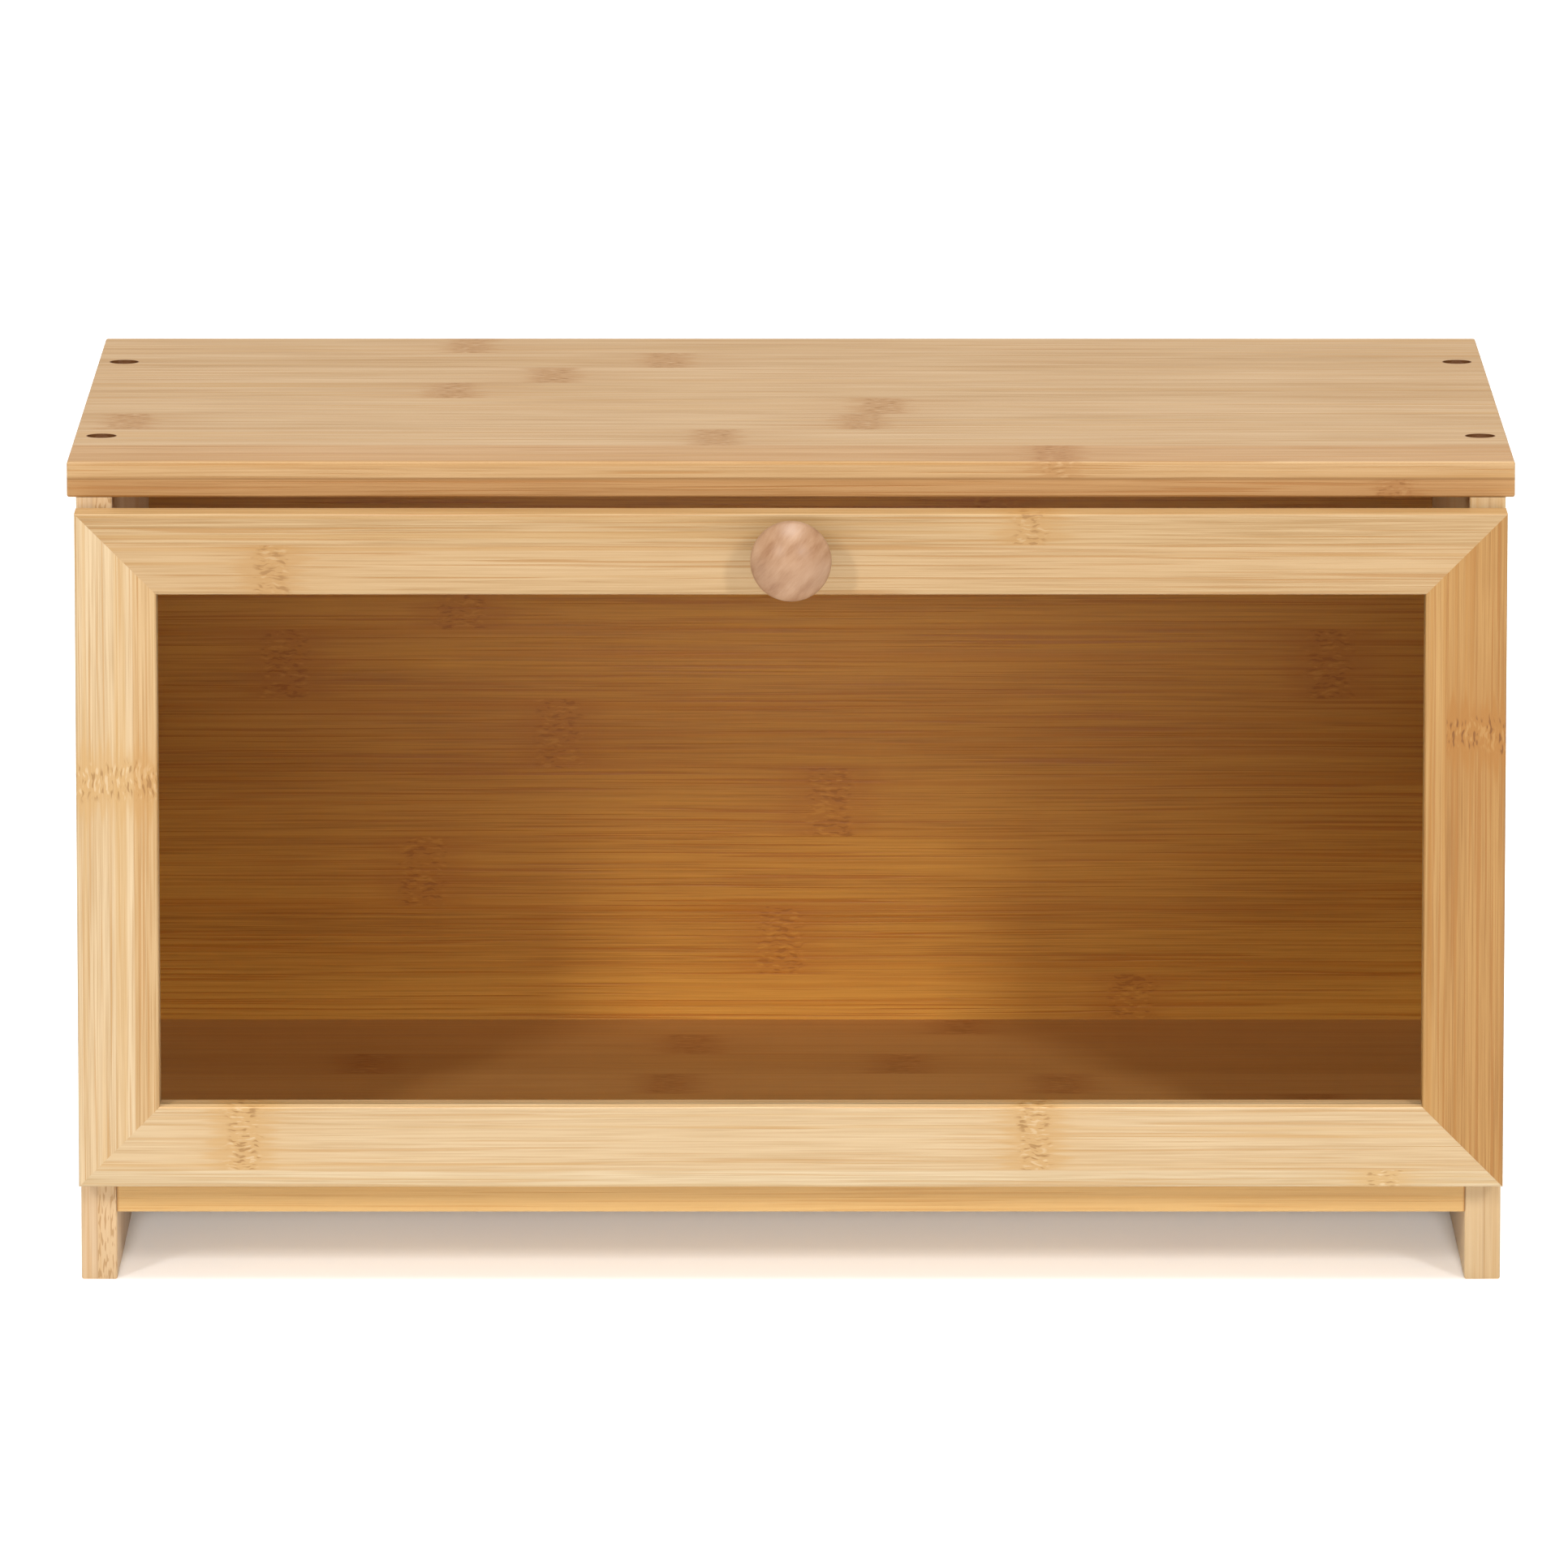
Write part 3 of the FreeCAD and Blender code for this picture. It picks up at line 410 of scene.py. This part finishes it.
BOARDS = {
    "top_board": dict(
        axes="XYZ", colour=scaled(HONEY, 0.92, 0.92, 0.94), seed=1.0, strip=0.03125, joint=0.0052,
        lower_ply_tone_and_shade=(0.88, 0.77, 0.63), glue=0.75, contrast=1.15, tone_spread=0.2, knuckle_strength=1.25,
        # The counterbores' walls get painted shade.
        ply_slide=0.094, shaded_holes=hole_layout(), knuckle_tint=(0.78, 0.62, 0.46), knuckle_fade=1.5,
        # The front edge is darker than the top face: painted shade.
        strip_tones_and_shade=[(0.97, 0.88, 0.79)] + 7 * [(1, 1, 1)], front_edge_shade=(0.89, 0.94, 0.92),
        knuckles=(0.073, -0.021, 0.020, 0.026, -0.096, -0.068, -0.036, -0.093),
        again=(None, None, -0.186),
    ),
    "bottom_board": dict(
        axes="XYZ", colour=linear(198, 148, 86), seed=2.0, strip=0.03125, contrast=0.7,
        # The top face, the floor inside, is darker and more orange than the front edge below the joint:
        # painted shade inside the box. painted_end_shade paints shade in the joints at the ends.
        joint=0.0086, lower_ply_tone_and_shade=(0.94, 1.13, 1.37), knuckle_tint=(0.70, 0.52, 0.42), painted_end_shade=0.6,
        knuckles=(None, 0.11, -0.08, 0.15, -0.035, -0.122, -0.029, 0.05),
        again=(None, None, None, None, 0.078, 0.032),
    ),
    "back_panel": dict(
        axes="XZY", colour=WHEAT, seed=3.0, strip=0.0205, shift=0.004, contrast=1.2, tone_spread=0.15,
        # The inner face is darker and more orange than the outer face: painted shade inside the box.
        joint=0.0025, lower_ply_tone_and_shade=tuple(inner / outer for inner, outer in zip(SHADED_CARAMEL, WHEAT)),
        knuckle_half=0.0075, knuckle_strength=0.9, knuckle_tint=(0.82, 0.66, 0.55),
        knuckles=(0.10, -0.003, -0.108, 0.011, -0.068, 0.158, -0.096, 0.06, -0.12, 0.13),
        again=(None, None, None, None, None, -0.148),
        # The top three strips inside are darker still: painted shade under the top board.
        strip_tones_and_shade=7 * [(1, 1, 1)] + 3 * [(0.66, 0.60, 0.45)], inside_shade_only=True,
    ),
    "left_side_panel": dict(
        axes="ZYX", colour=scaled(WHEAT, 0.87, 0.95, 1.07), seed=4.0, strip=0.025, joint=0.0046,
        contrast=0.6, glue=0.2, knuckles=scattered(10, 0.22, 4), flecks=1,
    ),
    "right_side_panel": dict(
        axes="ZYX", colour=scaled(WHEAT, 0.80, 0.85, 0.83), seed=5.0, strip=0.025, joint=0.0054,
        contrast=0.5, glue=0.25, knuckles=scattered(10, 0.22, 5),
    ),
    "door_top_rail": dict(
        axes="XZY", colour=linear(166, 137, 97), seed=6.0, strip=0.0225, shift=0.0087,
        knuckles=(-0.143, 0.066), knuckle_half=0.005, strip_tones_and_shade=[(0.98, 0.96, 0.94), (1, 1, 1)],
        # The top face is lighter: a painted highlight.
        far_edge_highlight=(1.30, 1.24, 1.15),
    ),
    "door_bottom_rail": dict(
        axes="XZY", colour=linear(183, 162, 129), seed=7.0, strip=0.0225, shift=0.0177, contrast=0.75,
        knuckles=(0.164, -0.152), again=(None, 0.0676), knuckle_strength=1.3,
        knuckle_half=0.005, strip_tones_and_shade=[(1, 1, 1), (0.94, 0.88, 0.80)],
        # The top face is lighter: a painted highlight.
        far_edge_highlight=(1.25, 1.20, 1.12),
    ),
    "door_left_stile": dict(
        axes="ZXY", colour=linear(181, 156, 120), seed=8.0, strip=0.030, shift=0.014,
        knuckles=(0.1425, 0.1425), knuckle_strength=1.3,
        strip_tones_and_shade=[(1, 1, 1), (0.92, 0.83, 0.69)],
    ),
    "door_right_stile": dict(
        axes="ZXY", colour=linear(159, 120, 68), seed=9.0, strip=0.0225, shift=0.0165,
        knuckles=(None, 0.1555), knuckle_half=0.005, knuckle_strength=1.9,
        strip_tones_and_shade=[(1, 1, 1), (0.96, 0.93, 0.88)],
    ),
    "mitre_keys": dict(axes="XZY", colour=WHEAT, seed=10.0, strip=0.02, contrast=0.8),
}


def dress_boards():
    for node, look in BOARDS.items():
        low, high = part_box(node)
        show(node, bamboo(node + "_bamboo", low, high - low, **look))


# ------------------------------------------------------------------------------- other materials

GRAIN_SLANT = math.radians(52)  # how steeply the knob's grain rises to the right
PORE_RELIEF = 0.00003
DRAWN_RELIEF = 0.00001


def turned_beech():
    """The knob: pinkish beech with fine long pores and soft growth rings, sanded and waxed."""
    graph = Graph("turned_beech")
    place = graph.axes()
    level_part, upright_part = math.cos(GRAIN_SLANT), math.sin(GRAIN_SLANT)
    along = graph.add(graph.times(place["X"], level_part), graph.times(place["Z"], upright_part))
    across = graph.add(graph.times(place["X"], -upright_part), graph.times(place["Z"], level_part))
    grain = graph.join(along, across, place["Y"])
    rings = graph.noise(grain, (70, 190, 60), 5.0, detail=2.0)
    blotches = graph.noise(grain, (130, 260, 90), 12.0, detail=2.0)
    pores = graph.noise(grain, (500, 2400, 500), 9.0)
    base = linear(150, 114, 84)
    level = graph.add(
        0.5,
        graph.times(rings, 1.6),
        graph.times(blotches, 1.1),
        graph.times(pores, 0.45),
    )
    dark, pale = scaled(base, 0.72, 0.60, 0.50), scaled(base, 1.22, 1.32, 1.46)
    shown = graph.ramp(level, [(0.0, dark), (0.5, base), (1.0, pale)])
    roughness = graph.add(0.42, graph.times(pores, 0.2))
    return graph.surface(shown, roughness, pores, PORE_RELIEF, Specular_IOR_Level=0.4)


def clear_acrylic():
    """The window: clear straight on, a mirror at a glancing angle, with faint wiping marks in the mirror."""
    graph = Graph("clear_acrylic")
    wiped = graph.noise(graph.join(*graph.axes().values()), (40, 40, 140), 1.0, detail=3.0)
    clear = graph.node("BsdfTransparent")
    graph.feed(clear.inputs["Color"], (0.99, 0.985, 0.975))
    mirror = graph.node("BsdfGlossy")
    graph.feed(mirror.inputs["Color"], (1, 1, 1))
    graph.feed(mirror.inputs["Roughness"], graph.add(0.06, graph.times(wiped, 0.05)))
    # Schlick's fifth power, without the few per cent that a pane mirrors straight on.
    slant = graph.node("LayerWeight")
    graph.feed(slant.inputs["Blend"], 0.5)
    shine = graph.math("POWER", slant.outputs["Facing"], 5.0, clamp=True)
    blend = graph.node("MixShader")
    graph.feed(blend.inputs[0], shine)
    graph.feed(blend.inputs[1], clear.outputs[0])
    graph.feed(blend.inputs[2], mirror.outputs[0])
    end = graph.node("OutputMaterial")
    graph.feed(end.inputs["Surface"], blend.outputs[0])
    return graph.material


def metal(name, colour, roughness, per_metre, wear=0.12):
    """A plated or solid metal with a drawn grain, finest where per_metre is largest, and uneven polish."""
    graph = Graph(name)
    point = graph.join(*graph.axes().values())
    drawn = graph.noise(point, per_metre, 4.0, detail=2.0)
    smear = graph.noise(point, (220, 220, 220), 7.0, detail=2.0)
    level = graph.add(0.5, graph.times(drawn, 0.8), graph.times(smear, 0.8))
    dark, pale = scaled(colour, 0.72, 0.70, 0.66), scaled(colour, 1.1, 1.1, 1.1)
    shown = graph.ramp(level, [(0.0, dark), (0.5, colour), (1.0, pale)])
    rough = graph.add(roughness, graph.times(drawn, wear), graph.times(smear, wear))
    return graph.surface(shown, rough, drawn, DRAWN_RELIEF, Metallic=1.0)


def show(node, material):
    """Gives a CAD node one material."""
    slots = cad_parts[node].data.materials
    slots.clear()
    slots.append(material)


def dress_the_rest():
    brass = metal("hinge_brass", (0.72, 0.50, 0.20), roughness=0.30, per_metre=(300, 3000, 3000))
    zinc = metal("screw_zinc", (0.62, 0.60, 0.55), roughness=0.34, per_metre=(900, 900, 2500))
    nickel = metal("magnet_nickel", (0.42, 0.41, 0.39), roughness=0.30, per_metre=(900, 900, 900), wear=0.05)
    steel = metal("strike_steel", (0.58, 0.58, 0.58), roughness=0.28, per_metre=(400, 3000, 3000))
    for side in ("left", "right"):
        for part in ("hinge_body_leaf", "hinge_door_leaf", "hinge_pin"):
            show(f"{side}_{part}", brass)
        show(f"{side}_catch_magnet", nickel)
        show(f"{side}_strike_plate", steel)
    for group in ("top_screws", "bottom_screws", "hinge_body_screws", "hinge_door_screws", "knob_screw"):
        show(group, zinc)
    show("door_knob", turned_beech())
    show("window_pane", clear_acrylic())


# ------------------------------------------------------------------------------ floor, light, camera

FLOOR_REACH = 30  # the floor is the backdrop too, so it goes on far past the view


def add_floor():
    """A plain pale floor."""
    corners = [(x * FLOOR_REACH, y * FLOOR_REACH, 0) for x, y in ((-1, -1), (1, -1), (1, 1), (-1, 1))]
    mesh = bpy.data.meshes.new("floor")
    mesh.from_pydata(corners, [], [(0, 1, 2, 3)])
    floor = bpy.data.objects.new("floor", mesh)
    bpy.context.scene.collection.objects.link(floor)
    graph = Graph("pale_floor")
    mottle = graph.noise(graph.join(*graph.axes().values()), (3, 3, 3), 1.0, detail=2.0)
    shown = graph.ramp(graph.add(0.5, mottle), [(0.0, (0.90, 0.90, 0.90)), (1.0, (0.93, 0.93, 0.93))])
    mesh.materials.append(graph.surface(shown, 0.9, Specular_IOR_Level=0.0))
    return floor


def aim(light, target):
    """Turns a light so that it points at target."""
    light.rotation_euler = (target - light.location).to_track_quat("-Z", "Y").to_euler()


def add_light(name, azimuth, elevation, distance, width, height, power, target):
    """An area light seen from target at azimuth degrees to the right of the front and elevation above."""
    turn = math.radians(azimuth)
    rise = math.radians(elevation)
    data = bpy.data.lights.new(name, "AREA")
    data.shape = "RECTANGLE"
    data.size = width
    data.size_y = height
    data.energy = power
    light = bpy.data.objects.new(name, data)
    offset = Vector((math.sin(turn) * math.cos(rise), -math.cos(turn) * math.cos(rise), math.sin(rise)))
    light.location = target + distance * offset
    aim(light, target)
    bpy.context.scene.collection.objects.link(light)


def receivers(name, lit):
    """The collection of the objects that one light reaches."""
    group = bpy.data.collections.new(name + "_receivers")
    for thing in lit:
        group.objects.link(thing)
    return group


def add_spot(name, elevation, distance, beam, power, target, lit):
    """A spotlight from the front. Its beam, in degrees, lights only the nodes named in lit."""
    rise = math.radians(elevation)
    data = bpy.data.lights.new(name, "SPOT")
    data.spot_size = math.radians(beam)
    data.spot_blend = 0.35
    data.shadow_soft_size = 0.08
    data.energy = power
    light = bpy.data.objects.new(name, data)
    light.location = target + distance * Vector((0, -math.cos(rise), math.sin(rise)))
    aim(light, target)
    light.light_linking.receiver_collection = receivers(name, [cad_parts[node] for node in lit])
    bpy.context.scene.collection.objects.link(light)


def add_sun(name, elevation, softness, strength, lit=()):
    """A broad light from the front, at elevation degrees. Where lit names objects, it lights only those."""
    data = bpy.data.lights.new(name, "SUN")
    data.energy = strength
    data.angle = math.radians(softness)
    sun = bpy.data.objects.new(name, data)
    sun.rotation_euler = (math.radians(90 - elevation), 0, 0)
    if lit:
        sun.light_linking.receiver_collection = receivers(name, lit)
    bpy.context.scene.collection.objects.link(sun)


def add_world(strength):
    world = bpy.data.worlds.new("studio")
    world.use_nodes = True
    background = world.node_tree.nodes["Background"]
    background.inputs["Color"].default_value = (1, 1, 1, 1)
    background.inputs["Strength"].default_value = strength
    bpy.context.scene.world = world


def light_studio(floor):
    """A white tent and a broad front light, with two small lights whose beams cross on the back panel.

    A low light on the floor alone keeps the shadow under the box pale, and a narrow one through the
    window lights the inside.
    """
    low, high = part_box("back_panel")
    middle = (low + high) / 2
    add_world(strength=0.40)
    add_sun("front_light", elevation=74, softness=30, strength=2.9)
    add_sun("floor_light", elevation=9, softness=8, strength=7.0, lit=[floor])
    for name, azimuth in (("left_light", -26), ("right_light", 26)):
        add_light(name, azimuth, elevation=22, distance=3.0, width=0.25, height=0.6, power=26, target=middle)
    below_middle = middle - Vector((0, 0, 0.022))
    inside = ("back_panel", "bottom_board", "left_side_panel", "right_side_panel")
    add_spot("window_light", elevation=10, distance=2.5, beam=5.3, power=38, target=below_middle, lit=inside)


CAMERA_PLACE = (-0.0019, -4.3032, 0.8403)
CAMERA_DIP = 9.483  # degrees below level
CAMERA_LENS = 352.4  # millimetres, on a sensor 36 mm wide


def add_camera():
    """A camera far in front of the box and a little above it, with a long lens."""
    data = bpy.data.cameras.new("camera")
    data.sensor_width = 36
    data.lens = CAMERA_LENS
    data.clip_end = 100
    camera = bpy.data.objects.new("camera", data)
    camera.location = CAMERA_PLACE
    camera.rotation_euler = (math.radians(90 - CAMERA_DIP), 0, 0)
    bpy.context.scene.collection.objects.link(camera)
    bpy.context.scene.camera = camera


def set_tone():
    view = bpy.context.scene.view_settings
    view.view_transform = "Standard"
    view.look = "None"


# ------------------------------------------------------------------------------------------ scene

dress_boards()
dress_the_rest()
light_studio(add_floor())
add_camera()
set_tone()

bpy.context.view_layer.update()
